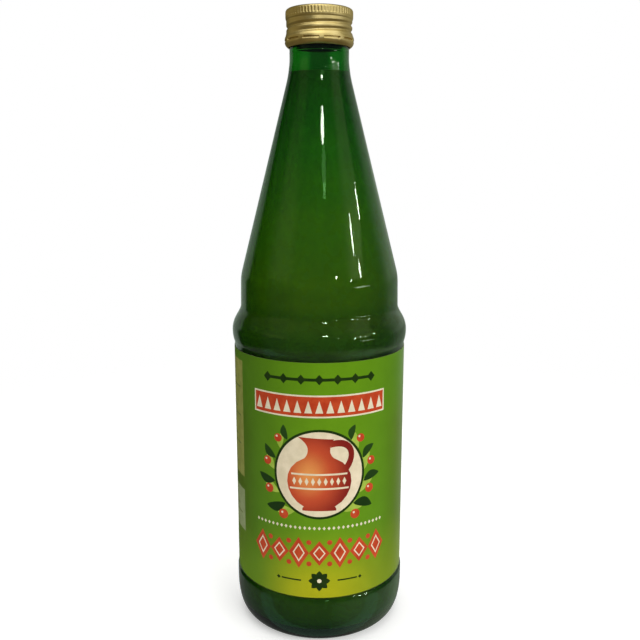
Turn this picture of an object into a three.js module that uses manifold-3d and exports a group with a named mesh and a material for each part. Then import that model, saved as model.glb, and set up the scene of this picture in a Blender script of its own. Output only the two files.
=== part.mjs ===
// A green glass vinegar bottle: glass, filling, paper wrap label and rolled aluminium screw cap.
// Millimetres, +Z up, origin at the centre of the foot that the bottle stands on.
import * as THREE from "three";
import { mergeVertices } from "three/addons/utils/BufferGeometryUtils.js";
import Module from "manifold-3d";

// Driving dimensions of the glass
const footRadius = 33.4; // outer edge of the flat ring that the bottle stands on
const footWidth = 6;
const pushUp = 5; // height of the hollow under the foot
const heelRadius = 39.1;
const heelHeight = 15.2; // where the heel's curve turns upright
const panelRadius = 38.5; // the recess that takes the label
const panelBottom = 22;
const panelTop = 130.2;
const ringRadius = 39.35; // the widest ring, above the label
const ringHeight = 135.4;
const collarRadius = 35.4; // the upright band between the ring and the cone
const collarBottom = 146.2;
const collarTop = 157.4;
const coneTop = 241.4;
const coneTopRadius = 14.25;
const coneSlope = 0.2555; // radius lost for each millimetre of height
const neckBottom = 247;
const neckRadius = 12.65;
const mouthHeight = 270.6;
const lipRound = 0.9;
const wall = 3.2;
const neckBore = 10;
const floorThickness = 4.6;

// Driving dimensions of the filling and the label
const fillHeight = 245.6; // the vinegar stands at the foot of the neck
const fillClearance = 0.1;
const labelBottom = 22.6;
const labelTop = 128.2;
const labelClearance = 0.05;
const paperThickness = 0.2;

// Driving dimensions of the cap
const capBottom = 256.4;
const capTop = 271.8;
const capRadius = 14.35; // over the knurls
const crownBottom = 268.2;
const crownCorner = 1.5;
const knurlCount = 64;
const knurlDepth = 0.3;
const knurlBottom = 268.5;
const skirtRadius = 14;
const bandRadius = 14.75; // the bead of the tamper band
const bandHeight = 259; // height of that bead
const bandTop = 260.5; // where the wall starts to narrow above it
const lipRadius = 13.2; // where the band is rolled in under the neck's ring
const skirtBottom = 261.6; // the stretch that the thread is rolled into
const skirtTop = 267.4;
const threadPitch = 2.7;
const threadLevel = 262.85; // height of the groove's middle as it passes +X
const threadFirst = -0.4; // turns below that level
const threadLast = 1.2; // turns above it
const threadDepth = 0.55;
const threadWidth = 2.2;
const capBore = 13.0;
const capRoof = 0.6; // clear of the glass mouth by capTop - capRoof - mouthHeight
const slitCount = 10;
const slitHeight = 0.45;
const slitLevel = 258.9;
const bridgeAngle = THREE.MathUtils.degToRad(8);
const slitPhase = THREE.MathUtils.degToRad(4);

// Facets
const bodyFacets = 48;
const crownFacets = 2 * knurlCount;
const skirtFacets = 64;
const outerSteps = 4; // points along each curve of the glass outside
const innerSteps = 3; // the same for its hollow
const capSteps = 3;

const wasm = await Module();
wasm.setup();

// Turns a half outline (x = radius, y = height) round the Z axis.
function turned(points, facets) {
  return new THREE.LatheGeometry(points, facets).rotateX(Math.PI / 2);
}

// A closed geometry as a solid that can be joined and cut.
function solidOf(geometry) {
  const bare = geometry.clone();
  bare.deleteAttribute("normal");
  bare.deleteAttribute("uv");
  const merged = mergeVertices(bare, 1e-3);
  const vertProperties = merged.attributes.position.array;
  const triVerts = new Uint32Array(merged.index.array);
  return new wasm.Manifold(new wasm.Mesh({ numProp: 3, vertProperties, triVerts }));
}

function geometryOf(solid) {
  const { vertProperties, triVerts } = solid.getMesh();
  const geometry = new THREE.BufferGeometry();
  geometry.setAttribute("position", new THREE.BufferAttribute(vertProperties, 3));
  geometry.setIndex(new THREE.BufferAttribute(triVerts, 1));
  geometry.computeVertexNormals();
  return geometry;
}

// Moves each vertex inwards by depthAt(angle, height, radius).
function carve(geometry, depthAt) {
  const place = geometry.attributes.position;
  for (let i = 0; i < place.count; i++) {
    const radius = Math.hypot(place.getX(i), place.getY(i));
    if (radius < 1e-6) continue;
    const angle = Math.atan2(place.getY(i), place.getX(i));
    const share = 1 - depthAt(angle, place.getZ(i), radius) / radius;
    place.setXY(i, place.getX(i) * share, place.getY(i) * share);
  }
  return geometry;
}

// The radius of the cone's outside at a height.
const coneRadius = (z) => coneTopRadius + (coneTop - z) * coneSlope;

// The glass from the middle of its underside, round the heel and up the outside to the mouth.
function outerOutline() {
  const shoulder = collarTop + 5; // where the cone's straight side starts
  const neckFlare = neckRadius + 0.35;
  const path = new THREE.Path();
  path.moveTo(0, pushUp);
  path.quadraticCurveTo(footRadius - 2 * footWidth, pushUp, footRadius - footWidth, 0);
  path.lineTo(footRadius, 0);
  path.bezierCurveTo(
    footRadius + 0.6 * (heelRadius - footRadius), 0,
    heelRadius, 0.4 * heelHeight,
    heelRadius, heelHeight,
  );
  path.lineTo(heelRadius, panelBottom - 1.2);
  path.lineTo(panelRadius, panelBottom);
  path.lineTo(panelRadius, panelTop);
  path.quadraticCurveTo(ringRadius, panelTop + 2, ringRadius, ringHeight);
  path.bezierCurveTo(
    ringRadius, ringHeight + 5,
    collarRadius + 0.3, collarBottom - 3.4,
    collarRadius, collarBottom,
  );
  path.lineTo(collarRadius - 0.2, collarTop);
  path.quadraticCurveTo(collarRadius - 0.3, collarTop + 2.4, coneRadius(shoulder), shoulder);
  path.lineTo(coneTopRadius, coneTop);
  path.quadraticCurveTo(coneRadius(neckBottom - 1.5), neckBottom - 1.5, neckFlare, neckBottom + 1);
  path.lineTo(neckRadius, neckBottom + 6);
  path.lineTo(neckRadius, mouthHeight - lipRound);
  path.quadraticCurveTo(neckRadius, mouthHeight, neckRadius - lipRound, mouthHeight);
  return path.getPoints(outerSteps);
}

// The hollow from the middle of its floor up to the level of the filling, taken in by an inset.
function cavityOutline(inset) {
  const floor = pushUp + floorThickness + inset;
  const edge = floorThickness + inset;
  const panel = panelRadius - wall - inset;
  const ring = ringRadius - wall - inset;
  const collar = collarRadius - wall - inset;
  const slant = wall + 0.1 + inset; // the wall measured level across the cone
  const shoulder = collarTop + 4.4;
  const path = new THREE.Path();
  path.moveTo(0, floor);
  path.quadraticCurveTo(footRadius - 2 * footWidth, floor, footRadius - footWidth, edge);
  path.bezierCurveTo(panel - 4, edge, panel, edge + 2, panel, edge + heelHeight - 3);
  path.lineTo(panel, panelTop);
  path.quadraticCurveTo(ring, panelTop + 2, ring, ringHeight);
  path.bezierCurveTo(ring, ringHeight + 5, collar + 0.3, collarBottom - 3.4, collar, collarBottom);
  path.lineTo(collar - 0.2, collarTop);
  path.quadraticCurveTo(collar - 0.3, collarTop + 2.4, coneRadius(shoulder) - slant, shoulder);
  path.lineTo(coneTopRadius - slant, coneTop);
  path.quadraticCurveTo(neckBore - inset, fillHeight - 1.5, neckBore - inset, fillHeight);
  return path.getPoints(innerSteps);
}

function bottleGlass() {
  const outside = outerOutline();
  const inside = cavityOutline(0).reverse();
  const mouth = [
    new THREE.Vector2(neckBore + lipRound, mouthHeight),
    new THREE.Vector2(neckBore, mouthHeight - lipRound),
  ];
  return turned([...outside, ...mouth, ...inside], bodyFacets);
}

function vinegar() {
  const surface = new THREE.Vector2(0, fillHeight);
  return turned([...cavityOutline(fillClearance), surface], bodyFacets);
}

function label() {
  const inner = panelRadius + labelClearance;
  const outer = inner + paperThickness;
  const ring = [
    [inner, labelBottom],
    [outer, labelBottom],
    [outer, labelTop],
    [inner, labelTop],
    [inner, labelBottom],
  ];
  return turned(ring.map(([r, z]) => new THREE.Vector2(r, z)), bodyFacets);
}

// The knurled top of the cap, with a rounded edge and a flat roof.
function capCrown() {
  const path = new THREE.Path();
  path.moveTo(0, capTop - capRoof);
  path.lineTo(capBore, capTop - capRoof);
  path.lineTo(capBore, crownBottom);
  path.lineTo(capRadius, crownBottom);
  path.lineTo(capRadius, knurlBottom);
  path.lineTo(capRadius, capTop - crownCorner);
  path.quadraticCurveTo(capRadius, capTop, capRadius - crownCorner, capTop);
  path.lineTo(0, capTop);
  const blank = turned(path.getPoints(capSteps), crownFacets);
  const onKnurl = (z, radius) =>
    radius > capRadius - 0.01 && z > knurlBottom - 0.01 && z < capTop - crownCorner + 0.01;
  const step = Math.PI / knurlCount;
  const isValley = (angle) => Math.abs(Math.round(angle / step)) % 2 === 1;
  return carve(blank, (angle, z, radius) =>
    onKnurl(z, radius) && isValley(angle) ? knurlDepth : 0);
}

// How deep the rolled thread's groove is at an angle and a height; it fades out at both ends.
function threadGroove(angle, z) {
  const share = angle / (2 * Math.PI);
  let depth = 0;
  for (let turn = share - 1; turn <= threadLast; turn += 1) {
    if (turn < threadFirst) continue;
    const away = Math.abs(z - threadLevel - turn * threadPitch) / (threadWidth / 2);
    const fade = Math.min(1, 8 * (turn - threadFirst), 8 * (threadLast - turn));
    if (away < 1) depth = Math.max(depth, fade * threadDepth * 0.5 * (1 + Math.cos(Math.PI * away)));
  }
  return depth;
}

// The cap's wall below the knurls: the threaded stretch, the bead and the rolled-in tamper band.
function capSkirt() {
  const rows = 10; // levels of the threaded stretch
  const path = new THREE.Path();
  path.moveTo(capBore, capBottom + 0.3);
  path.lineTo(lipRadius, capBottom);
  path.quadraticCurveTo(bandRadius, capBottom + 0.9, bandRadius, bandHeight);
  path.quadraticCurveTo(bandRadius, bandTop - 0.4, bandRadius - 0.25, bandTop);
  for (let row = 0; row <= rows; row++)
    path.lineTo(skirtRadius, skirtBottom + (row / rows) * (skirtTop - skirtBottom));
  path.lineTo(capRadius - 0.12, crownBottom);
  path.lineTo(capRadius - 0.12, crownBottom + 0.4);
  path.lineTo(capBore, crownBottom + 0.4);
  path.lineTo(capBore, capBottom + 0.3);
  const blank = turned(path.getPoints(capSteps), skirtFacets);
  return carve(blank, (angle, z, radius) =>
    radius > capBore + 0.2 ? threadGroove(angle, z) : 0);
}

// One slit of the tear line: a stretch of ring that reaches right through the cap's wall.
function slit(index) {
  const period = (2 * Math.PI) / slitCount;
  const start = slitPhase + bridgeAngle / 2 + index * period - Math.PI / 2;
  const end = start + period - bridgeAngle;
  const shape = new THREE.Shape();
  shape.absarc(0, 0, bandRadius + 1, start, end, false);
  shape.absarc(0, 0, capBore - 0.2, end, start, true);
  const settings = { depth: slitHeight, bevelEnabled: false, curveSegments: 4 };
  return new THREE.ExtrudeGeometry(shape, settings).translate(0, 0, slitLevel);
}

function cap() {
  let solid = solidOf(capCrown()).add(solidOf(capSkirt()));
  for (let index = 0; index < slitCount; index++)
    solid = solid.subtract(solidOf(slit(index)));
  return geometryOf(solid);
}

const glassFinish = new THREE.MeshStandardMaterial({
  color: 0x1d5c1e, roughness: 0.05, metalness: 0, transparent: true, opacity: 0.55,
});
const vinegarFinish = new THREE.MeshStandardMaterial({
  color: 0x9a8a2a, roughness: 0.1, metalness: 0, transparent: true, opacity: 0.9,
});
const labelFinish = new THREE.MeshStandardMaterial({ color: 0x5b8c1a, roughness: 0.45, metalness: 0 });
const capFinish = new THREE.MeshStandardMaterial({ color: 0xb39a4e, roughness: 0.35, metalness: 1 });

function piece(name, geometry, material) {
  const mesh = new THREE.Mesh(geometry, material);
  mesh.name = name;
  return mesh;
}

const bottle = new THREE.Group();
bottle.name = "vinegar_bottle";
bottle.add(
  piece("bottle_glass", bottleGlass(), glassFinish),
  piece("vinegar", vinegar(), vinegarFinish),
  piece("label", label(), labelFinish),
  piece("cap", cap(), capFinish),
);

export default bottle;
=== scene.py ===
import math

import bpy
import numpy as np
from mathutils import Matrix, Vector
from mathutils.geometry import delaunay_2d_cdt


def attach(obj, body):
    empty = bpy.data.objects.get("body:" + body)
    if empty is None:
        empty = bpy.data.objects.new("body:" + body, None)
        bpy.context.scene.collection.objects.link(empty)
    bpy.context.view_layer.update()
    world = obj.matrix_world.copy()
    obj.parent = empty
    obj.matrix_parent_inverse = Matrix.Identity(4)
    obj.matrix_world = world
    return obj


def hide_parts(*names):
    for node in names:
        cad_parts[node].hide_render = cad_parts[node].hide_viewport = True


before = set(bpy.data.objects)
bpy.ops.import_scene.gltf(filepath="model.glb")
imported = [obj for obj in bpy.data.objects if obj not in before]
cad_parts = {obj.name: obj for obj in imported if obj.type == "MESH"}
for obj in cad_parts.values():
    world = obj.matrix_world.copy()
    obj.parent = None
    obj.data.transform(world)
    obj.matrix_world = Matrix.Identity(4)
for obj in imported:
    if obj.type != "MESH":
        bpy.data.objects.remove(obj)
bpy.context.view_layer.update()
mm = 0.001
print("frame loaded:", ", ".join(sorted(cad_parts)))


class Sock:
    # a shader socket that can stand in a sum; any other node comes from add()
    def __init__(self, tree, socket):
        self.tree = tree
        self.socket = socket

    def add(self, kind, settings=None, inputs=None, out=0):
        node = self.tree.nodes.new("ShaderNode" + kind)
        for key, value in (settings or {}).items():
            setattr(node, key, value)
        for key, value in (inputs or {}).items():
            if isinstance(value, Sock):
                self.tree.links.new(value.socket, node.inputs[key])
            else:
                node.inputs[key].default_value = value
        return Sock(self.tree, node.outputs[out])

    def maths(self, operation, *terms):
        return self.add("Math", {"operation": operation}, dict(enumerate(terms)))

    def __add__(self, other):
        return self.maths("ADD", self, other)

    def __radd__(self, other):
        return self.maths("ADD", other, self)

    def __sub__(self, other):
        return self.maths("SUBTRACT", self, other)

    def __rsub__(self, other):
        return self.maths("SUBTRACT", other, self)

    def __mul__(self, other):
        return self.maths("MULTIPLY", self, other)

    def __rmul__(self, other):
        return self.maths("MULTIPLY", other, self)

    def __truediv__(self, other):
        return self.maths("DIVIDE", self, other)

    def __rtruediv__(self, other):
        return self.maths("DIVIDE", other, self)

    def __pow__(self, other):
        return self.maths("POWER", self, other)

    def __rpow__(self, other):
        return self.maths("POWER", other, self)

    def __neg__(self):
        return self.maths("MULTIPLY", self, -1)

    # 0 below low, 1 above high, with a soft step between
    def rise(self, low, high):
        spans = {"Value": self, "From Min": low, "From Max": high}
        return self.add("MapRange", {"interpolation_type": "SMOOTHSTEP"}, spans)

    # this value as the factor between two colours
    def blend(self, first, second):
        return self.add("Mix", {"data_type": "RGBA"}, {0: self, 6: first, 7: second}, out=2)

    # a colour that changes as this value rises through (value, colour) stops
    def graded(self, stops):
        colour = stops[0][1]
        for (low, _), (high, tint) in zip(stops, stops[1:]):
            colour = self.rise(low, high).blend(colour, tint)
        return colour

    # this colour, darkened by another where the amount says so
    def dimmed(self, amount, tint):
        shades = {0: amount, 6: self, 7: tint}
        return self.add("Mix", {"data_type": "RGBA", "blend_type": "MULTIPLY"}, shades, out=2)

    def parts(self):
        return [self.add("SeparateXYZ", {}, {"Vector": self}, out=axis) for axis in range(3)]

    def stretched(self, x, y, z):
        return self.add("VectorMath", {"operation": "MULTIPLY"}, {0: self, 1: (x, y, z)})

    def noise(self, scale, detail=2.0, rough=0.5):
        grain = {"Vector": self, "Scale": scale, "Detail": detail, "Roughness": rough}
        return self.add("TexNoise", {}, grain)


# sRGB bytes as a linear colour
def paint(red, green, blue):
    shares = [v / 255 for v in (red, green, blue)]
    return tuple(v / 12.92 if v < 0.04045 else ((v + 0.055) / 1.055) ** 2.4 for v in shares) + (1.0,)


def newFinish(name, fixed):
    finish = bpy.data.materials.new(name)
    finish.use_nodes = True
    tree = finish.node_tree
    shader = tree.nodes["Principled BSDF"]
    for key, value in fixed.items():
        shader.inputs[key].default_value = value
    place = Sock(tree, tree.nodes.new("ShaderNodeTexCoord").outputs["Object"])
    return finish, shader, place


socketNames = {
    "colour": "Base Color", "roughness": "Roughness", "normal": "Normal",
    "coat": "Coat Weight", "alpha": "Alpha",
}


def feed(shader, **links):
    for key, value in links.items():
        value.tree.links.new(value.socket, shader.inputs[socketNames[key]])


def bumped(height, strength, distance):
    return height.add("Bump", {}, {"Height": height, "Strength": strength, "Distance": distance})


# A half outline: each leg is a straight end point, or control points and an end point of a curve
def outline(start, *legs, steps=8):
    points = [np.array(start, float)]
    for leg in legs:
        knots = [points[-1]] + [np.array(p, float) for p in leg]
        order = len(knots) - 1
        count = 1 if order == 1 else steps
        for t in np.linspace(0, 1, count + 1)[1:]:
            weights = [math.comb(order, k) * t**k * (1 - t) ** (order - k) for k in range(order + 1)]
            points.append(sum(w * p for w, p in zip(weights, knots)))
    return np.array(points)


# more points along an outline, so that no stretch is longer than a length
def divided(points, longest):
    dense = [points[0]]
    for a, b in zip(points[:-1], points[1:]):
        count = max(1, math.ceil(np.linalg.norm(b - a) / longest))
        dense += [a + (b - a) * k / count for k in range(1, count + 1)]
    return np.array(dense)


def meshPiece(name, verts, faces, finishes, sharpAbove=40):
    mesh = bpy.data.meshes.new(name)
    mesh.from_pydata([tuple(v) for v in verts], [], [tuple(f) for f in faces])
    for finish in finishes:
        mesh.materials.append(finish)
    mesh.polygons.foreach_set("use_smooth", [True] * len(mesh.polygons))
    mesh.set_sharp_from_angle(angle=math.radians(sharpAbove))
    mesh.validate()
    piece = bpy.data.objects.new(name, mesh)
    bpy.context.scene.collection.objects.link(piece)
    return piece


# Turns an outline (radius, height in mm) round Z; move(angle, radius, height) gives new radii and heights.
# An outline that starts and ends on the axis gives a closed mesh.
def turnedMesh(rows, around, move=None):
    angles = np.arange(around) * 2 * math.pi / around
    onAxis = rows[:, 0] < 1e-6
    verts, ringStart = [], []
    for (radius, height), pole in zip(rows, onAxis):
        ringStart.append(len(verts))
        if pole:
            verts.append((0.0, 0.0, height * mm))
            continue
        radii, heights = np.full(around, radius), np.full(around, height)
        if move is not None:
            radii, heights = move(angles, radii, heights)
        x, y = radii * np.cos(angles) * mm, radii * np.sin(angles) * mm
        verts += list(zip(x, y, heights * mm))
    faces = []
    for row in range(len(rows) - 1):
        below, above = ringStart[row], ringStart[row + 1]
        for k in range(around):
            n = (k + 1) % around
            low = [below] if onAxis[row] else [below + k, below + n]
            high = [above] if onAxis[row + 1] else [above + n, above + k]
            faces.append(low + high)
    return verts, faces


def ridden(piece, slot, *nodes):
    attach(piece, "root")
    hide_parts(*nodes)
    return piece


bottleSize = {
    "foot": 33.4, "footWidth": 6, "pushUp": 5,
    "heel": 39.1, "heelHeight": 15.2,
    "panel": 38.5, "panelBottom": 22, "panelTop": 130.2,
    "panelStep": (1.6, 1.0, 0.6),  # where the step starts below the panel, and its two control points
    "ring": 39.35, "ringHeight": 135.4, "ringRise": 2, "ringFall": 5,
    "collar": 35.4, "collarBottom": 146.2, "collarTop": 157.4, "collarLean": 0.2,
    "collarBend": (0.3, 3.4), "shoulderBend": (0.3, 2.4),  # out or in, and down or up, from the collar's ends
    "shoulder": 5, "shoulderInside": 4.4,  # where the cone starts above the collar
    "coneTop": 14.25, "coneTopHeight": 241.4, "coneSlope": 0.2555,
    "neck": 12.65, "neckBottom": 247, "mouth": 270.6, "lip": 0.9,
    "wall": 3.2, "bore": 10, "floor": 4.6, "hollowTop": 245.6,
    "neckSeam": 254.3, "neckSeamHigh": 0.05, "neckSeamWide": 0.18,  # the ring where the neck's mould ends
    "around": 224, "longest": 2.5,
    "seam": 0.07, "seamWidth": 0.022,  # the mould's parting line, mm and radians
    "tint": (0.62, 0.86, 0.6, 1), "ior": 1.52,
    "loss": (470, 165, 640), "mostLoss": 700,  # light lost in the wall, for each metre of red, green and blue
    "waveScale": 55, "pitScale": 420, "pitShare": 0.06, "waveStrength": 0.18, "waveHigh": 0.0011,
}


def coneRadius(z):
    return bottleSize["coneTop"] + (bottleSize["coneTopHeight"] - z) * bottleSize["coneSlope"]


# from the panel's top over the ring and the collar to the cone's top, a slant further in than the cone
def upperLegs(ring, collar, shoulder, slant):
    b = bottleSize
    start = b["collarTop"] + shoulder
    bend, drop = b["collarBend"]
    lean, rise = b["shoulderBend"]
    return [
        [(ring, b["panelTop"] + b["ringRise"]), (ring, b["ringHeight"])],
        [
            (ring, b["ringHeight"] + b["ringFall"]), (collar + bend, b["collarBottom"] - drop),
            (collar, b["collarBottom"]),
        ],
        [(collar - b["collarLean"], b["collarTop"])],
        [(collar - lean, b["collarTop"] + rise), (coneRadius(start) - slant, start)],
        [(b["coneTop"] - slant, b["coneTopHeight"])],
    ]


def bottleOutside():
    b = bottleSize
    step = b["panelBottom"]
    stepStart, stepOut, stepIn = b["panelStep"]
    heelCurve = b["foot"] + 0.6 * (b["heel"] - b["foot"])
    neckSeam = [
        [(b["neck"] + b["neckSeamHigh"] * math.exp(-((away / b["neckSeamWide"]) ** 2)), b["neckSeam"] + away)]
        for away in np.linspace(-2.4, 2.4, 19) * b["neckSeamWide"]  # out to where it has faded away
    ]
    return outline(
        (0, b["pushUp"]),
        [(b["foot"] - 2 * b["footWidth"], b["pushUp"]), (b["foot"] - b["footWidth"], 0)],
        [(b["foot"], 0)],
        [(heelCurve, 0), (b["heel"], 0.4 * b["heelHeight"]), (b["heel"], b["heelHeight"])],
        [(b["heel"], step - stepStart)],
        [(b["heel"], step - stepOut), (b["panel"], step - stepIn), (b["panel"], step)],
        [(b["panel"], b["panelTop"])],
        *upperLegs(b["ring"], b["collar"], b["shoulder"], 0),
        [(coneRadius(b["neckBottom"] - 1.5), b["neckBottom"] - 1.5), (b["neck"] + 0.35, b["neckBottom"] + 1)],
        [(b["neck"], b["neckBottom"] + 3), (b["neck"], b["neckBottom"] + 5)],
        *neckSeam,
        [(b["neck"], b["mouth"] - b["lip"])],
        [(b["neck"], b["mouth"]), (b["neck"] - b["lip"], b["mouth"])],
        steps=12,
    )


# the hollow, from the middle of its floor up to where the filling ends; grown moves it out into the wall
def bottleHollow(grown=0.0):
    b = bottleSize
    floor, edge = b["pushUp"] + b["floor"] - grown, b["floor"] - grown
    panel, ring, collar = (b[k] - b["wall"] + grown for k in ("panel", "ring", "collar"))
    slant = b["wall"] + 0.1 - grown
    return outline(
        (0, floor),
        [(b["foot"] - 2 * b["footWidth"], floor), (b["foot"] - b["footWidth"], edge)],
        [(panel - 4, edge), (panel, edge + 2), (panel, edge + b["heelHeight"] - 3)],
        [(panel, b["panelTop"])],
        *upperLegs(ring, collar, b["shoulderInside"], slant),
        [(b["bore"] + grown, b["hollowTop"] - 1.5), (b["bore"] + grown, b["hollowTop"])],
        steps=10,
    )


def greenGlass():
    b = bottleSize
    fixed = {"Base Color": b["tint"], "Roughness": 0.0, "IOR": b["ior"], "Transmission Weight": 1.0}
    finish, shader, place = newFinish("greenGlass", fixed)
    sway = place.stretched(1, 1, 0.35).noise(b["waveScale"], 1.5)  # slow waves that moulding leaves
    pits = place.noise(b["pitScale"], 1.0)  # and a fine unevenness
    feed(shader, normal=bumped(sway + pits * b["pitShare"], b["waveStrength"], b["waveHigh"]))
    kept = tuple(1 - v / b["mostLoss"] for v in b["loss"]) + (1,)
    absorb = place.add("VolumeAbsorption", {}, {"Color": kept, "Density": b["mostLoss"]})
    output = finish.node_tree.nodes["Material Output"]
    finish.node_tree.links.new(absorb.socket, output.inputs["Volume"])
    return finish


def makeGlass():
    b = bottleSize
    mouth = outline(
        (b["bore"] + b["lip"], b["mouth"]),
        [(b["bore"], b["mouth"]), (b["bore"], b["mouth"] - b["lip"])],
    )
    whole = np.vstack([bottleOutside(), mouth, bottleHollow()[::-1]])
    outsideCount = len(divided(bottleOutside(), b["longest"]))
    points = divided(whole, b["longest"])
    outer = {(round(r, 6), round(z, 6)) for r, z in points[:outsideCount]}

    # two faint upright seams where the mould's halves met, on the outside alone
    def seams(angles, radii, heights):
        if (round(radii[0], 6), round(heights[0], 6)) not in outer:
            return radii, heights
        bare = b["panelBottom"] - 2 < heights[0] < b["panelTop"] + 1 or heights[0] < 3
        away = np.abs((angles + math.pi / 2) % math.pi - math.pi / 2)
        ridge = 0 if bare else b["seam"] * np.exp(-((away / b["seamWidth"]) ** 2))
        return radii + ridge, heights

    verts, faces = turnedMesh(points, b["around"], seams)
    return ridden(meshPiece("glass_body", verts, faces, [greenGlass()]), "green_glass", "bottle_glass")


fillSize = {
    "level": 245.4, "intoWall": 0.2, "meniscus": 0.9, "around": 160, "longest": 3.0,
    # colour by height, with light and shade painted in: browner where the light crosses more of it, painted
    # brightest at the collar, painted shade at the ring below it and darker and greener towards the neck
    "paintedLightByHeight": [
        (10, (0.7, 0.16, 0.05, 1)), (60, (0.62, 0.18, 0.055, 1)), (138, (0.44, 0.136, 0.09, 1)),
        (152, (1.0, 0.255, 0.05, 1)), (182, (0.82, 0.287, 0.07, 1)), (198, (0.54, 0.272, 0.068, 1)),
        (214, (0.31, 0.24, 0.1, 1)), (228, (0.16, 0.185, 0.075, 1)), (244, (0.155, 0.135, 0.08, 1)),
    ],
    "ior": 1.34, "cloud": (0.84, 0.86, 0.84, 1), "threadScale": 52, "hazeScale": 150,
}


def cloudyVinegar():
    f = fillSize
    finish, shader, place = newFinish("cloudyVinegar", {"IOR": f["ior"]})
    height = place.parts()[2] / mm
    drawn = place.stretched(1, 1, 0.16).noise(f["threadScale"], 3.0)  # upright threads of sediment
    haze = place.noise(f["hazeScale"], 3.0)
    cloud = (drawn * 0.65 + haze * 0.35).rise(0.32, 0.68)
    # painted light and shade by height, dimmed where the sediment clouds it
    colour = height.graded(f["paintedLightByHeight"]).dimmed(cloud, f["cloud"])
    feed(shader, colour=colour, roughness=0.2 + haze * 0.15)
    return finish


def makeVinegar():
    f = fillSize
    sides = divided(bottleHollow(f["intoWall"]), f["longest"])
    wall = sides[-1][0]
    surface = outline(
        (wall, f["level"] + f["meniscus"]),
        [(wall - 0.5, f["level"] + 0.15), (wall - 1.9, f["level"])],
        [(0, f["level"])],
    )
    verts, faces = turnedMesh(np.vstack([sides, divided(surface, f["longest"])]), f["around"])
    return ridden(meshPiece("vinegar_fill", verts, faces, [cloudyVinegar()]), "cloudy_vinegar", "vinegar")


capSize = {
    "bottom": 256.4, "top": 271.8, "radius": 14.35, "bore": 13.0, "roof": 0.6, "corner": 1.5,
    "knurls": 64, "knurlDepth": 0.2, "knurlBottom": 268.5, "knurlTop": 271.2,
    "knurlSharp": 1.6, "knurlFadeLow": 0.35, "knurlFadeHigh": 0.7,
    "skirt": 14.0, "skirtBottom": 261.6, "skirtTop": 267.4, "crownBottom": 268.2,
    "band": 14.75, "bandHeight": 259, "flare": 260.6, "lip": 13.2,
    "pitch": 2.7, "level": 262.85, "first": -0.4, "last": 1.2, "depth": 0.55, "width": 2.2, "fade": 8,
    "slits": 10, "slitLevel": 259.12, "slitHeight": 0.42, "slitDepth": 0.9, "bridge": 8, "slitTurn": 4,
    "slitEnd": 0.8,  # degrees over which a slit's end closes
    "slitRound": 0.3, "roundHigh": 0.8,  # the cut edge under the slits is bent in
    "around": 576, "longest": 0.16,
    "gold": (214, 193, 122), "goldLight": (230, 211, 148), "goldRubbed": (232, 214, 150),
    "spunScale": 5200, "blotchScale": 230, "rubScale": 900,
    # the lining's near-black tones are painted shade
    "liningShade": (24, 23, 18), "liningShadeLight": (40, 38, 28),
}


def capOutline():
    c = capSize
    outer = outline(
        (c["bore"], c["bottom"] + 0.5),
        [(c["bore"], c["bottom"]), (c["lip"] + 0.05, c["bottom"])],
        [(c["band"], c["bottom"] + 0.9), (c["band"], c["bandHeight"])],
        [(c["band"], c["flare"] - 0.5), (c["band"] - 0.25, c["flare"])],
        [(c["skirt"] + 0.05, c["skirtBottom"]), (c["skirt"], c["skirtBottom"] + 1)],
        [(c["skirt"], c["skirtTop"])],
        [(c["radius"] - 0.1, c["skirtTop"] + 0.2), (c["radius"] - 0.06, c["crownBottom"])],
        [(c["radius"], c["knurlBottom"])],
        [(c["radius"], c["top"] - c["corner"])],
        [(c["radius"], c["top"]), (c["radius"] - c["corner"], c["top"])],
        steps=14,
    )
    ceiling = c["top"] - c["roof"]
    inside = np.array([(0, ceiling), (c["bore"], ceiling)])
    dish = c["top"] - 0.1
    top = outline((c["radius"] - c["corner"] - 1.2, c["top"] - 0.06), [(4, dish), (0, dish)])
    return np.vstack([inside, divided(outer, c["longest"]), divided(top, 1.0)])


def capRelief(angles, radii, heights):
    c = capSize
    z = heights[0]
    if radii[0] < c["bore"] + 0.35 or z < c["bottom"] + 1.2:
        return radii, heights
    turns = angles / (2 * math.pi)
    groove = np.zeros_like(radii)
    for whole in (-1, 0, 1):
        turn = turns + whole
        away = np.abs(z - c["level"] - turn * c["pitch"]) / (c["width"] / 2)
        fade = np.clip(c["fade"] * np.minimum(turn - c["first"], c["last"] - turn), 0, 1)
        bowl = np.where(away < 1, 0.5 * (1 + np.cos(math.pi * away)), 0)
        groove = np.maximum(groove, fade * c["depth"] * bowl)
    # knurls fade out at their lower end and over the corner
    low = np.clip((z - c["knurlBottom"]) / c["knurlFadeLow"], 0, 1)
    high = np.clip((c["knurlTop"] - z) / c["knurlFadeHigh"], 0, 1)
    wave = 0.5 * (1 - np.cos(angles * c["knurls"]))
    knurl = c["knurlDepth"] * low * high * wave ** c["knurlSharp"]
    period = 360 / c["slits"]
    along = (np.degrees(angles) + 90 - c["slitTurn"]) % period
    edge = np.clip((np.minimum(along, period - along) - c["bridge"] / 2) / c["slitEnd"], 0, 1)
    near = abs(z - c["slitLevel"]) < c["slitHeight"] / 2
    slit = c["slitDepth"] * edge if near else 0
    under = (c["slitLevel"] - c["slitHeight"] / 2 - z) / c["roundHigh"]
    bent = c["slitRound"] * edge * (1 - under) ** 2 if 0 < under < 1 else 0
    return radii - groove - knurl - slit - bent, heights


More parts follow.
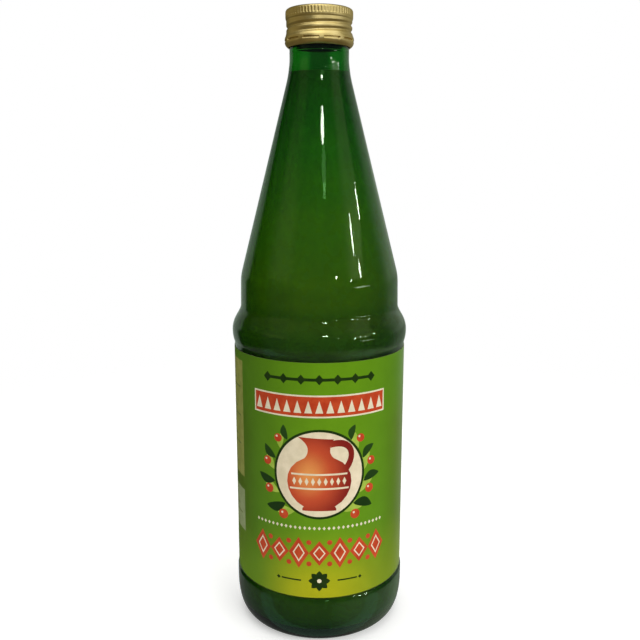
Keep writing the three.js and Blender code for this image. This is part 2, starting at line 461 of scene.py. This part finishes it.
def goldLacquer():
    c = capSize
    fixed = {"Metallic": 1.0, "IOR": 1.5, "Coat Roughness": 0.25}
    finish, shader, place = newFinish("goldLacquer", fixed)
    x, y, z = place.parts()
    angle = x.maths("ARCTAN2", x, -y)
    radius = (x * x + y * y) ** 0.5
    fine = c["spunScale"]
    spun = place.add("CombineXYZ", {}, {"X": angle * 1.5, "Y": z * fine, "Z": radius * fine})
    lines = spun.noise(1.0, 3.0, 0.6)  # marks that run round the drawn metal
    blotch = place.noise(c["blotchScale"], 3.0)
    tone = (lines * 0.5 + blotch * 0.5).rise(0.3, 0.72)
    base = tone.blend(paint(*c["gold"]), paint(*c["goldLight"]))
    onTop = (z / mm).rise(c["top"] - 3.2, c["top"] - 0.4)
    worn = onTop * place.noise(c["rubScale"], 2.0).rise(0.5, 0.8) * 0.5
    rubbed = worn.blend(base, paint(*c["goldRubbed"]))
    feed(shader, colour=rubbed, roughness=0.31 + lines * 0.1 + blotch * 0.04, coat=0.16 + blotch * 0.1)
    feed(shader, normal=bumped(lines, 0.12, 0.00004))
    return finish


# the dull lining inside the cap, seen through the neck; its near-black colour is painted shade for the dark
# under the cap
def capLiningShade():
    finish, shader, place = newFinish("capLiningShade", {"IOR": 1.4, "Specular IOR Level": 0.1})
    stain = place.noise(300, 3.0)
    colour = stain.blend(paint(*capSize["liningShade"]), paint(*capSize["liningShadeLight"]))
    feed(shader, colour=colour, roughness=0.6 + stain * 0.2)
    return finish


def makeCap():
    around = capSize["around"]
    verts, faces = turnedMesh(capOutline(), around, capRelief)
    cap = meshPiece("screw_cap", verts, faces, [goldLacquer(), capLiningShade()], 50)
    lined = 2 * around  # the roof and the bore come first
    cap.data.polygons.foreach_set("material_index", [1] * lined + [0] * (len(faces) - lined))
    return ridden(cap, "gold_aluminium", "cap")


labelSize = {
    "bottom": 22.6, "top": 128.2, "radius": 38.66, "paper": 0.1,
    "overlap": 7, "lead": 2.5, "climb": 0.11,  # the glued end at the back, and how it climbs over the other
    "column": 1.5, "row": 3.0, "longest": 1.2,  # the mesh's own net and the print's outlines, mm
    "worn": (0.88, 0.9, 0.86, 1), "fibreScale": 2600, "mottleScale": 120,
}


# the print's shapes, in mm round from the front and up; each list holds (ink, outline), later over earlier
def disc(u, z, radius, count):
    turn = np.linspace(0, 2 * math.pi, count, endpoint=False)
    return np.column_stack([u + radius * np.cos(turn), z + radius * np.sin(turn)])


def bar(u, z, wide, high):
    return np.array([(u - wide / 2, z - high / 2), (u + wide / 2, z - high / 2),
                     (u + wide / 2, z + high / 2), (u - wide / 2, z + high / 2)])


def lozenge(u, z, wide, high):
    return np.array([(u - wide / 2, z), (u, z - high / 2), (u + wide / 2, z), (u, z + high / 2)])


# a leaf from its stalk: a lens bent to one side
def leaf(u, z, heading, length, wide, bend=0.12, count=9):
    t = np.linspace(0, 1, count)
    half = wide / 2 * np.sin(math.pi * t) ** 0.8
    spine = bend * length * np.sin(math.pi * t)
    along = np.concatenate([t * length, (t * length)[::-1][1:-1]])
    across = np.concatenate([spine - half, (spine + half)[::-1][1:-1]])
    c, s = math.cos(heading), math.sin(heading)
    return np.column_stack([u + along * c - across * s, z + along * s + across * c])


printSize = {
    "ruleHeight": 121, "ruleWide": 46, "ruleThick": 1.3, "ruleBead": (4, 4.4), "ruleBeads": 3,
    "friezeHeight": 109.5, "friezeWide": 60, "friezeHigh": 8.4, "friezeEdge": 1.4,
    "teeth": 13, "tooth": (0.36, 0.34, 0.3),  # half its breadth, how far down and up, as shares
    "medal": (0, 79.5), "medalRadius": 19, "medalEdge": 1.1,
    "jugFoot": 63.2, "jugHigh": 33, "beltThick": 0.8, "beltBead": (1.7, 3.6), "beltGap": 2.7,
    "belts": ((3.2, 24.2), (-3.2, 25.4)),  # up from the beads, and breadth
    "dotHeight": 55.2, "dotGap": 2.1, "dot": (1.3, 1.7), "dots": 14,
    "rowHeight": 43.6, "rowWide": 63, "rowCount": 7, "rowHigh": 14.5, "rowDot": 1.15, "rowDotAway": 5,
    "crest": (0, 30.6), "crestRadius": 4.8, "crestBar": (9, 0.7), "crestBarAway": 12.5,
    "crestEnd": 1.8, "crestEndAway": 18.5,
    "backPanel": (-67.6, 97.4, 54, 53.6), "smallPanel": (-65.6, 54.4, 50, 20),
    "lineMargin": 6, "lineFirst": 2.4, "lineGap": 3.3, "lineRoom": 3.4, "lineThick": 0.7,
}


# a dark rule strung with lozenges
def ruleShapes():
    height, wide = printSize["ruleHeight"], printSize["ruleWide"]
    shapes = [("dark", bar(0, height, wide, printSize["ruleThick"]))]
    each = printSize["ruleBeads"]  # on each side of the middle one
    for k in range(-each, each + 1):
        shapes.append(("dark", lozenge(k * wide / (2 * each), height, *printSize["ruleBead"])))
    return shapes


# a red border with a row of pale teeth
def friezeShapes():
    p = printSize
    z, wide, high = p["friezeHeight"], p["friezeWide"], p["friezeHigh"]
    edge = p["friezeEdge"]
    shapes = [("pale", bar(0, z, wide + edge, high + edge)), ("red", bar(0, z, wide, high))]
    pitch = wide / p["teeth"]
    half, down, up = p["tooth"]
    low, top, half = z - down * high, z + up * high, half * pitch
    for k in range(p["teeth"]):
        u = (k + 0.5) * pitch - wide / 2
        shapes.append(("pale", np.array([(u - half, low), (u + half, low), (u, top)])))
    return shapes


# large and small red lozenges by turns, with dots between them and a row of pale dots above
def lozengeRow():
    p = printSize
    gap = p["rowWide"] / p["rowCount"]
    last = (p["rowCount"] - 1) / 2
    shapes = []
    for k in range(p["rowCount"]):
        u = (k - last) * gap
        high = p["rowHigh"] * (0.8 if k % 2 else 1)
        for ink, share in (("red", 1), ("cream", 0.6), ("red", 0.46)):
            shapes.append((ink, lozenge(u, p["rowHeight"], gap * share, high * share)))
        if k < last * 2:
            for side in (-1, 1):
                height = p["rowHeight"] + side * p["rowDotAway"]
                shapes.append(("red", disc(u + gap / 2, height, p["rowDot"], 24)))
    for k in range(-p["dots"], p["dots"] + 1):
        shapes.append(("pale", lozenge(k * p["dotGap"], p["dotHeight"], *p["dot"])))
    return shapes


# a rosette of eight leaves between two short rules
def crestShapes():
    p = printSize
    u, z = p["crest"]
    r = p["crestRadius"]
    shapes = [("dark", leaf(u, z, math.pi / 2 + k * math.pi / 4, r, r * 0.62, 0)) for k in range(8)]
    shapes.append(("pale", disc(u, z, r * 0.2, 20)))
    for side in (-1, 1):
        shapes.append(("dark", bar(u + side * p["crestBarAway"], z, *p["crestBar"])))
        end = u + side * p["crestEndAway"]
        shapes.append(("dark", lozenge(end, z, p["crestEnd"], p["crestEnd"])))
    return shapes


def jugOutline():
    foot, high = printSize["jugFoot"], printSize["jugHigh"]
    left = outline(
        (-7.2, foot),
        [(-7.6, foot + 1.2), (-6.6, foot + 1.8)],
        [(-15.5, foot + 6), (-17.5, foot + 0.58 * high), (-6.2, foot + 0.72 * high)],
        [(-4.2, foot + 0.8 * high), (-5.2, foot + 0.88 * high)],
        [(-6.5, foot + 0.95 * high), (-9.2, foot + high)],
    )
    right = outline(
        (6.2, foot + 0.97 * high),
        [(4.4, foot + 0.88 * high), (4.6, foot + 0.8 * high)],
        [(5.0, foot + 0.75 * high), (6.2, foot + 0.72 * high)],
        [(17.5, foot + 0.58 * high), (15.5, foot + 6), (6.6, foot + 1.8)],
        [(7.6, foot + 1.2), (7.2, foot)],
    )
    return np.vstack([left, right])


def jugHandle():
    foot, high = printSize["jugFoot"], printSize["jugHigh"]

    def at(u, share):
        return u, foot + share * high

    outer = outline(at(5.2, 0.95), [at(15, 1.02), at(18.5, 0.72), at(11.5, 0.5)], steps=14)
    inner = outline(at(10.0, 0.58), [at(14.8, 0.74), at(13, 0.92), at(4.8, 0.86)], steps=14)
    return np.vstack([outer, inner])


# leaves and berries that climb each side of the medal: degrees from level, mm from its edge,
# and how much smaller each next one is
sprigSize = {
    "away": 1.2, "leaves": 8, "leafStart": -58, "leafStep": 15,
    "leafLong": 10.4, "leafShorter": 0.5, "leafWide": 4.6, "leafNarrower": 0.22,
    "berries": 4, "berryStart": -50, "berryStep": 30, "berryAway": 4.4, "berryCloser": 0.3,
    "berry": 2.2, "berrySmaller": 0.12, "shine": 0.5,
}


def sprigShapes(side):
    s = sprigSize
    shapes = []
    z0 = printSize["medal"][1]
    reach = printSize["medalRadius"] + s["away"]
    for k in range(s["leaves"]):
        turn = math.radians(s["leafStart"] + k * s["leafStep"])
        u, z = side * reach * math.cos(turn), z0 + reach * math.sin(turn)
        out = turn + math.radians(28 if k % 2 else 70)
        heading = out if side > 0 else math.pi - out
        long = s["leafLong"] - s["leafShorter"] * k
        wide = (s["leafWide"] - s["leafNarrower"] * k) * side
        shapes.append(("leaf" if k % 2 else "leafLight", leaf(u, z, heading, long, wide)))
    for k in range(s["berries"]):
        turn = math.radians(s["berryStart"] + k * s["berryStep"])
        away = reach + s["berryAway"] - s["berryCloser"] * k
        u, z = side * away * math.cos(turn), z0 + away * math.sin(turn)
        shapes.append(("red", disc(u, z, s["berry"] - s["berrySmaller"] * k, 26)))
        shapes.append(("pale", disc(u - 0.6, z + 0.7, s["shine"], 12)))
    return shapes


def pictureShapes():
    p = printSize
    u, z = p["medal"]
    r = p["medalRadius"]
    shapes = sprigShapes(-1) + sprigShapes(1)
    shapes += [("dark", disc(u, z, r + p["medalEdge"], 72)), ("cream", disc(u, z, r, 72))]
    shapes += [("jug", jugHandle()), ("jug", jugOutline())]
    belt = p["jugFoot"] + 0.4 * p["jugHigh"]
    for away, wide in p["belts"]:
        shapes.append(("cream", bar(0, belt + away, wide, p["beltThick"])))
    for k in range(-4, 5):
        shapes.append(("cream", lozenge(k * p["beltGap"], belt, *p["beltBead"])))
    return shapes


# two plain panels on the left side, ruled with lines of uneven length
def sideShapes():
    p = printSize
    shapes = []
    for name, (u, z, wide, high) in (("olive", p["backPanel"]), ("faint", p["smallPanel"])):
        shapes.append((name, bar(u, z, wide, high)))
        longest = wide - p["lineMargin"]
        for k in range(int(high / p["lineRoom"])):
            height = z + high / 2 - p["lineFirst"] - k * p["lineGap"]
            long = longest * (0.72 + 0.28 * ((k * 5) % 4) / 3)
            shapes.append(("line", bar(u - (longest - long) / 2, height, long, p["lineThick"])))
    return shapes


def paperFinish(name, colourAt):
    fixed = {"IOR": 1.47, "Specular IOR Level": 0.14, "Coat Roughness": 0.3}
    finish, shader, place = newFinish(name, fixed)
    x, y, z = place.parts()
    u = x.maths("ARCTAN2", x, -y) * labelSize["radius"]
    height = z / mm
    fibre = place.noise(labelSize["fibreScale"], 3.0, 0.6)
    mottle = place.noise(labelSize["mottleScale"], 4.0)
    worn = (mottle * 0.6 + fibre * 0.4).rise(0.75, 0.25)
    ink = colourAt(u, height, place).dimmed(worn, labelSize["worn"])
    feed(shader, colour=ink, roughness=0.4 + fibre * 0.12 + mottle * 0.08)
    feed(shader, coat=mottle * 0.06, normal=bumped(fibre * 0.5 + mottle, 0.1, 0.00006))
    return finish


def flatInk(first, second, scale=300):
    return lambda u, height, place: place.noise(scale, 3.0).rise(0.3, 0.7).blend(first, second)


# the ground's colours by mm round from the front, and where each gives way to the next; each row is painted
# lighter towards the middle and darker towards the ends, the left darkest, as painted light and shade
fieldSize = {
    "grass": [(-44, paint(77, 120, 10)), (4, paint(101, 149, 9)), (48, paint(84, 130, 10))],
    "lime": [(-34, paint(100, 138, 10)), (-2, paint(174, 172, 6)), (37, paint(118, 142, 14))],
    "shadedSide": [(-20, paint(78, 107, 8)), (20, paint(87, 120, 6))],
    # the painted shade round the sides: how far round it fades in, and the height below which it shows
    "shadeAround": (28, 46), "shadeBelow": (118, 92), "limeBelow": (58, 24),
}


# green print that turns to lime low on the front, both painted lighter and yellower in the middle; round the
# sides, below the top, painted shade darkens the green
def greenField(u, height, place):
    f = fieldSize
    # painted shade: the green darkens round the sides, below the top
    sides = ((u * u) ** 0.5).rise(*f["shadeAround"]) * height.rise(*f["shadeBelow"])
    grass = sides.blend(u.graded(f["grass"]), u.graded(f["shadedSide"]))
    return height.rise(*f["limeBelow"]).blend(grass, u.graded(f["lime"]))


def jugGlaze(u, height, place):
    across, up = (u + 4.5) / 14, (height - printSize["medal"][1]) / 17
    away = (across * across + up * up) ** 0.5
    warm = away.rise(0.0, 0.75).blend(paint(232, 150, 78), paint(200, 78, 42))
    return away.rise(0.55, 1.35).blend(warm, paint(132, 26, 20))


def leafGreen(u, height, place):
    middle = printSize["medal"][1]
    tone = height.rise(middle - 21, middle + 21) * 0.7 + place.noise(260) * 0.4
    return tone.blend(paint(22, 52, 12), paint(40, 74, 20))


inks = {
    "paper": greenField,
    "red": flatInk(paint(186, 58, 24), paint(200, 74, 34)),
    "dark": flatInk(paint(26, 52, 6), paint(36, 60, 10)),
    "pale": flatInk(paint(226, 214, 184), paint(236, 224, 196)),
    "cream": flatInk(paint(226, 210, 178), paint(238, 222, 192)),
    "jug": jugGlaze,
    "leaf": leafGreen,
    "leafLight": flatInk(paint(150, 178, 58), paint(168, 192, 74)),
    "olive": flatInk(paint(132, 138, 60), paint(146, 150, 72)),
    "faint": flatInk(paint(134, 148, 100), paint(146, 158, 112)),
    "line": flatInk(paint(94, 108, 44), paint(104, 118, 54)),
    "edge": flatInk(paint(160, 166, 122), paint(182, 186, 146), 900),
}


def makeLabel():
    l = labelSize
    half = math.pi * l["radius"]
    left, right = -half, half + l["overlap"]
    us = np.linspace(left, right, int((right - left) / l["column"]) + 1)
    zs = np.linspace(l["bottom"], l["top"], int((l["top"] - l["bottom"]) / l["row"]) + 1)
    points = [Vector((u, z)) for u in us for z in zs]
    names, regions, kinds = list(inks), [], []
    motifs = ruleShapes() + friezeShapes() + pictureShapes() + lozengeRow() + crestShapes() + sideShapes()
    for kind, shape in motifs:
        shape = divided(np.vstack([shape, shape[:1]]), l["longest"])[:-1]
        u, z = shape.T
        if np.sum(u * np.roll(z, -1) - z * np.roll(u, -1)) < 0:
            shape = shape[::-1]  # anticlockwise, so that its inside is inside
        regions.append(list(range(len(points), len(points) + len(shape))))
        points += [Vector(p) for p in shape]
        kinds.append(kind)
    flat, _, tris, _, _, owners = delaunay_2d_cdt(points, [], regions, 0, 1e-4)

    # the glued end climbs onto the label's other end at the back
    def place(u, z, lift):
        climb = min(1, max(0, (u - half + l["lead"]) / l["lead"]))
        radius = l["radius"] + lift + l["climb"] * climb * climb * (3 - 2 * climb)
        angle = u / l["radius"] - math.pi / 2
        return radius * math.cos(angle) * mm, radius * math.sin(angle) * mm, z * mm

    count = len(flat)
    verts = [place(p.x, p.y, 0) for p in flat] + [place(p.x, p.y, -l["paper"]) for p in flat]
    faces, inkOf, edges = [], [], {}
    for tri, owner in zip(tris, owners):
        if (flat[tri[1]] - flat[tri[0]]).cross(flat[tri[2]] - flat[tri[0]]) < 0:
            tri = tri[::-1]
        faces.append(tri)
        inkOf.append(names.index(kinds[max(owner)] if owner else "paper"))
        for a, b in zip(tri, tri[1:] + tri[:1]):
            edges[(a, b)] = True
    front = len(faces)
    faces += [[v + count for v in tri[::-1]] for tri in faces[:front]]
    faces += [[b, a, a + count, b + count] for a, b in edges if (b, a) not in edges]
    inkOf += [names.index("edge")] * (len(faces) - front)
    finishes = [paperFinish("print_" + name, inks[name]) for name in names]
    piece = meshPiece("paper_label", verts, faces, finishes, 30)
    piece.data.polygons.foreach_set("material_index", inkOf)
    return ridden(piece, "label_paper", "label")


stageSize = {"floor": 3.0, "drop": 0.0002, "glow": 0.4, "fadeStart": 0.16, "fadeEnd": 0.5}


def makeFloor():
    s = stageSize["floor"]
    fixed = {"Roughness": 0.6, "Emission Color": (1, 1, 0.99, 1), "Emission Strength": stageSize["glow"]}
    finish, shader, place = newFinish("paleFloor", fixed)
    mottle = place.noise(6, 3.0)
    feed(shader, colour=mottle.blend(paint(222, 222, 220), paint(230, 230, 229)))
    x, y = place.parts()[:2]
    away = (x * x + y * y) ** 0.5
    feed(shader, alpha=away.rise(stageSize["fadeEnd"], stageSize["fadeStart"]))
    corners = [(-s, -s), (s, -s), (s, s), (-s, s)]
    verts = [(x, y, -stageSize["drop"]) for x, y in corners]
    floor = meshPiece("studio_floor", verts, [(0, 1, 2, 3)], [finish])
    floor.visible_glossy = False  # the world stands for it in glass
    floor.visible_transmission = False
    floor.visible_shadow = False
    return floor


studio = {
    "white": (1.0, 1.0, 1.0, 1), "ambient": (0.33, 0.33, 0.33, 1),
    # seen through bare glass: the wall behind, the room in front, and the table
    "behindMiddle": (0.08, 0.145, 0.2, 1), "behindSide": (0.18, 0.35, 0.55, 1),
    "front": (0.2, 0.22, 0.24, 1), "under": (0.4, 0.42, 0.42, 1),
    # what lights the vinegar: the room in front, darker at both ends, and the table
    "litLeftLow": (0.12, 0.12, 0.11, 1), "litLeft": (3.5, 3.5, 3.4, 1), "litFront": (3.8, 3.8, 3.6, 1),
    "litRight": (1.6, 1.6, 1.5, 1), "litUnder": (0.8, 0.8, 0.78, 1),
    # mirrored: a dark room with a pale backdrop behind, a dim window each side and the table below
    "dark": (0.06, 0.07, 0.085, 1), "darkLeft": (0.015, 0.03, 0.015, 1), "darkHigh": (0.055, 0.1, 0.05, 1),
    "table": (0.15, 0.16, 0.15, 1), "tableRight": (0.34, 0.46, 0.3, 1),
    "windowLeft": (0.27, 0.38, 0.15, 1), "windowRight": (0.6, 0.67, 0.4, 1),
    "backdropLeft": (0.3, 0.37, 0.31, 1), "backdropRight": (0.41, 0.49, 0.39, 1),
    "backdropLow": (0.25, 0.31, 0.24, 1),
    # the same room as satin metal and paper blur it
    "satinLeft": (0.11, 0.105, 0.06, 1), "satinRight": (0.33, 0.32, 0.24, 1),
    "satinFront": (0.06, 0.054, 0.034, 1), "satinUnder": (0.12, 0.1, 0.06, 1),
}


# soft edges in the room, from the first value to the second: headings in degrees from straight behind,
# heights and sides as parts of a direction of length 1
roomEdges = {
    "ahead": (-0.35, 0.6), "below": (-0.25, -0.5), "middle": (3, 7),
    "litLow": (-0.1, 0.5), "litAcross": (-0.9, 0.35, 0.6, 0.98),
    "backdropLeft": (-61, -50), "backdropRight": (84, 56),
    "backdropMiddle": (-20, 20), "backdropTop": (0.17, 0.08),
    "near": (0.03, -0.1), "nearPull": (8, 4),  # low down the backdrop is narrower, by degrees on each side
    "high": (0.18, 0.28), "highPull": 8,  # and high up on the left
    "darkFrom": (-120, -90), "darkTo": (10, -30), "dimHigh": (0.2, 0.3), "dimLeft": (-62, -74),
    "table": (-0.36, -0.52), "tableRight": (0.1, 0.7), "satin": (-0.3, 0.9),
}
# the windows: headings of both edges, heights of the foot and the top, the share left above the top,
# and how far the near edge slants
windows = {
    "windowLeft": {
        "from": (-146, -128), "to": (-92, -114), "foot": (0.1, 0.3), "top": (0.46, 0.36), "dim": 0.45,
    },
    "windowRight": {
        "from": (96, 104), "to": (142, 124), "foot": (0.2, 0.3), "top": (0.4, 0.33), "dim": 0.5,
        "sill": (0.34, 0.26), "slant": 12,
    },
}


# what shows through bare glass, and what lights the vinegar inside it
def roomThrough(x, z, side, ahead, below):
    e = roomEdges
    behind = ((side * side) ** 0.5).rise(*e["middle"]).blend(studio["behindMiddle"], studio["behindSide"])
    through = below.blend(ahead.blend(behind, studio["front"]), studio["under"])
    left = z.rise(*e["litLow"]).blend(studio["litLeftLow"], studio["litLeft"])
    lights = left, studio["litFront"], studio["litFront"], studio["litRight"]
    before = x.graded(list(zip(e["litAcross"], lights)))
    glow = below.blend(ahead.blend(behind, before), studio["litUnder"])
    return through, glow


# what smooth glass mirrors
def roomMirrored(x, z, side):
    e = roomEdges
    near = z.rise(*e["near"])
    right = near.blend(studio["backdropRight"], studio["backdropLow"])
    pale = side.rise(*e["backdropMiddle"]).blend(studio["backdropLeft"], right)
    fromLeft = side - near * e["nearPull"][0] - z.rise(*e["high"]) * e["highPull"]
    fromRight = side + near * e["nearPull"][1]
    reach = fromLeft.rise(*e["backdropLeft"]) * fromRight.rise(*e["backdropRight"])
    dim = (z.rise(*e["dimHigh"]) * side.rise(*e["dimLeft"])).blend(studio["darkLeft"], studio["darkHigh"])
    dark = (side.rise(*e["darkFrom"]) * side.rise(*e["darkTo"])).blend(studio["dark"], dim)
    room = (reach * (0.78 + z.rise(*e["backdropTop"]) * 0.22)).blend(dark, pale)
    for name, w in windows.items():
        level = z.rise(*w["foot"]) * (w["dim"] + z.rise(*w["top"]) * (1 - w["dim"]))
        start = side - z.rise(*w["sill"]) * w["slant"] if "sill" in w else side
        room = (start.rise(*w["from"]) * side.rise(*w["to"]) * level).blend(room, studio[name])
    table = x.rise(*e["tableRight"]).blend(studio["table"], studio["tableRight"])
    return z.rise(*e["table"]).blend(room, table)


def makeWorld():
    world = bpy.data.worlds.new("studio")
    bpy.context.scene.world = world
    world.cycles.sampling_method = "NONE"  # rays alone find it, so each kind sees its own light
    world.use_nodes = True
    tree = world.node_tree
    way = Sock(tree, tree.nodes.new("ShaderNodeTexCoord").outputs["Generated"])
    path = {out.name: Sock(tree, out) for out in tree.nodes.new("ShaderNodeLightPath").outputs}
    x, y, z = way.parts()
    side = x.maths("ARCTAN2", x, y) * (180 / math.pi)  # degrees from straight behind
    ahead = (-y).rise(*roomEdges["ahead"])
    below = z.rise(*roomEdges["below"])
    through, glow = roomThrough(x, z, side, ahead, below)
    mirrored = roomMirrored(x, z, side)
    blurred = x.rise(*roomEdges["satin"]).blend(studio["satinLeft"], studio["satinRight"])
    satin = below.blend(ahead.blend(blurred, studio["satinFront"]), studio["satinUnder"])
    seen = path["Is Camera Ray"].blend(studio["ambient"], studio["white"])
    seen = path["Is Glossy Ray"].blend(seen, path["Is Singular Ray"].blend(satin, mirrored))
    lit = path["Diffuse Depth"].rise(0.2, 0.8).blend(through, glow)
    seen = path["Is Transmission Ray"].blend(seen, lit)
    tree.links.new(seen.socket, tree.nodes["Background"].inputs["Color"])


# a lamp aimed at a point: kind is the rays that may see it, only is the one piece that it lights
def lamp(name, place, aim, size, power, kind, tint=(1, 1, 1), only=None, shape="RECTANGLE"):
    data = bpy.data.lights.new(name, "AREA")
    data.shape = shape
    data.size, data.size_y = size
    data.energy = power
    data.color = tint
    made = bpy.data.objects.new(name, data)
    made.location = place
    made.rotation_euler = (Vector(aim) - Vector(place)).to_track_quat("-Z", "Y").to_euler()
    made.visible_camera = False
    made.visible_transmission = False
    made.visible_diffuse = kind == "diffuse"
    made.visible_glossy = kind == "glossy"
    bpy.context.scene.collection.objects.link(made)
    if only is not None:
        group = bpy.data.collections.new(name + "Lit")
        group.objects.link(only)
        made.light_linking.receiver_collection = group


farReach = {"away": 6.0, "aim": (0, 0, 0.2)}


# a far lamp that glass and metal mirror: degrees from the front and up, breadth and height in degrees
def farLamp(name, heading, up, wide, tall, radiance, **more):
    away, aim = farReach["away"], farReach["aim"]
    level = math.cos(math.radians(up)) * away
    turn = math.radians(heading)
    lift = away * math.sin(math.radians(up))
    place = level * math.sin(turn), -level * math.cos(turn), aim[2] + lift
    size = [2 * away * math.tan(math.radians(v) / 2) for v in (wide, tall)]
    lamp(name, place, aim, size, radiance * math.pi * size[0] * size[1], "glossy", **more)


# soft lamps: place, height that it aims at, breadth in metres, watts
roomLamps = {
    "key": ((0.8, -0.9, 0.75), 0.12, 0.9, 9.5),
    "fill": ((-0.9, -0.7, 0.6), 0.12, 0.8, 0.8),
    "above": ((0, 0.2, 1.6), 0, 1.4, 20.0),
}
# far lamps that the glass mirrors: heading, up, wide, tall, radiance
glints = {
    "front": (8.8, 31.8, 7.5, 2.7, 24), "right": (77.6, 19.5, 2.7, 3.0, 26),
    "side": (56.0, 20.0, 2.9, 2.9, 24), "sideLow": (63.0, 15.9, 3.2, 2.2, 28),
    "small": (25.5, 18.5, 2.2, 1.9, 28), "corner": (46.7, 13.4, 2.4, 3.2, 24),
    "shelf": (64.0, -0.5, 28.0, 2.2, 5.5),
}
# the front lamp again, dimmer and green from inside the wall
innerGlints = {"frontTail": (10.4, 28.6, 8.0, 3.4, 1.1), "frontEnd": (10.6, 26.9, 6.5, 1.0, 2.6)}
# broad soft boxes for the satin metal, and what the table throws up into the glass and the paper
softBoxes = {
    "front": (-3, 22, 28, 44, 1.2), "beside": (32, 20, 36, 44, 0.75), "right": (64, 12, 40, 46, 0.72),
    "top": (4, 66, 100, 40, 1.2), "crest": (-6, 56, 30, 30, 1.1),
}
warmBoxes = {"left": (-88, 12, 80, 50, 0.14), "low": (0, -38, 80, 40, 0.12)}
underGlass = 0, -74, 120, 32, 0.2
paperSheen = 152, -16, 30, 40, 0.9
lampTints = {
    "glint": (0.86, 1.0, 0.78), "inner": (0.4, 1.0, 0.34), "under": (0.3, 1.0, 0.6), "warm": (1.0, 0.8, 0.42),
}


def makeLights(glass, cap, label):
    for name, (place, aim, breadth, power) in roomLamps.items():
        lamp(name, place, (0, 0, aim), (breadth, breadth), power, "diffuse")
    for name, spread in glints.items():
        farLamp("glint_" + name, *spread, tint=lampTints["glint"], shape="ELLIPSE", only=glass)
    for name, spread in innerGlints.items():
        farLamp("glint_" + name, *spread, tint=lampTints["inner"], shape="ELLIPSE", only=glass)
    for name, spread in softBoxes.items():
        farLamp("soft_" + name, *spread, only=cap)
    for name, spread in warmBoxes.items():
        farLamp("warm_" + name, *spread, tint=lampTints["warm"], only=cap)
    farLamp("under_glass", *underGlass, tint=lampTints["under"], only=glass)
    farLamp("paper_sheen", *paperSheen, only=label)


cameraSize = {
    "place": (0.0003, -0.3391, 0.2063), "lookDown": 11.31, "lens": 42.64, "sensor": 36, "nearest": 0.01,
}


def makeCamera():
    data = bpy.data.cameras.new("camera")
    data.sensor_width = cameraSize["sensor"]
    data.lens = cameraSize["lens"]
    data.clip_start = cameraSize["nearest"]
    camera = bpy.data.objects.new("camera", data)
    camera.location = cameraSize["place"]
    camera.rotation_euler = (math.radians(90 - cameraSize["lookDown"]), 0, 0)
    bpy.context.scene.collection.objects.link(camera)
    bpy.context.scene.camera = camera


makeCamera()
glass = makeGlass()
print("glass turned")
makeVinegar()
print("vinegar poured")
cap = makeCap()
print("cap rolled")
label = makeLabel()
print("label printed")
makeFloor()
makeWorld()
makeLights(glass, cap, label)
bpy.context.scene.view_settings.view_transform = "Standard"
print("studio lit")
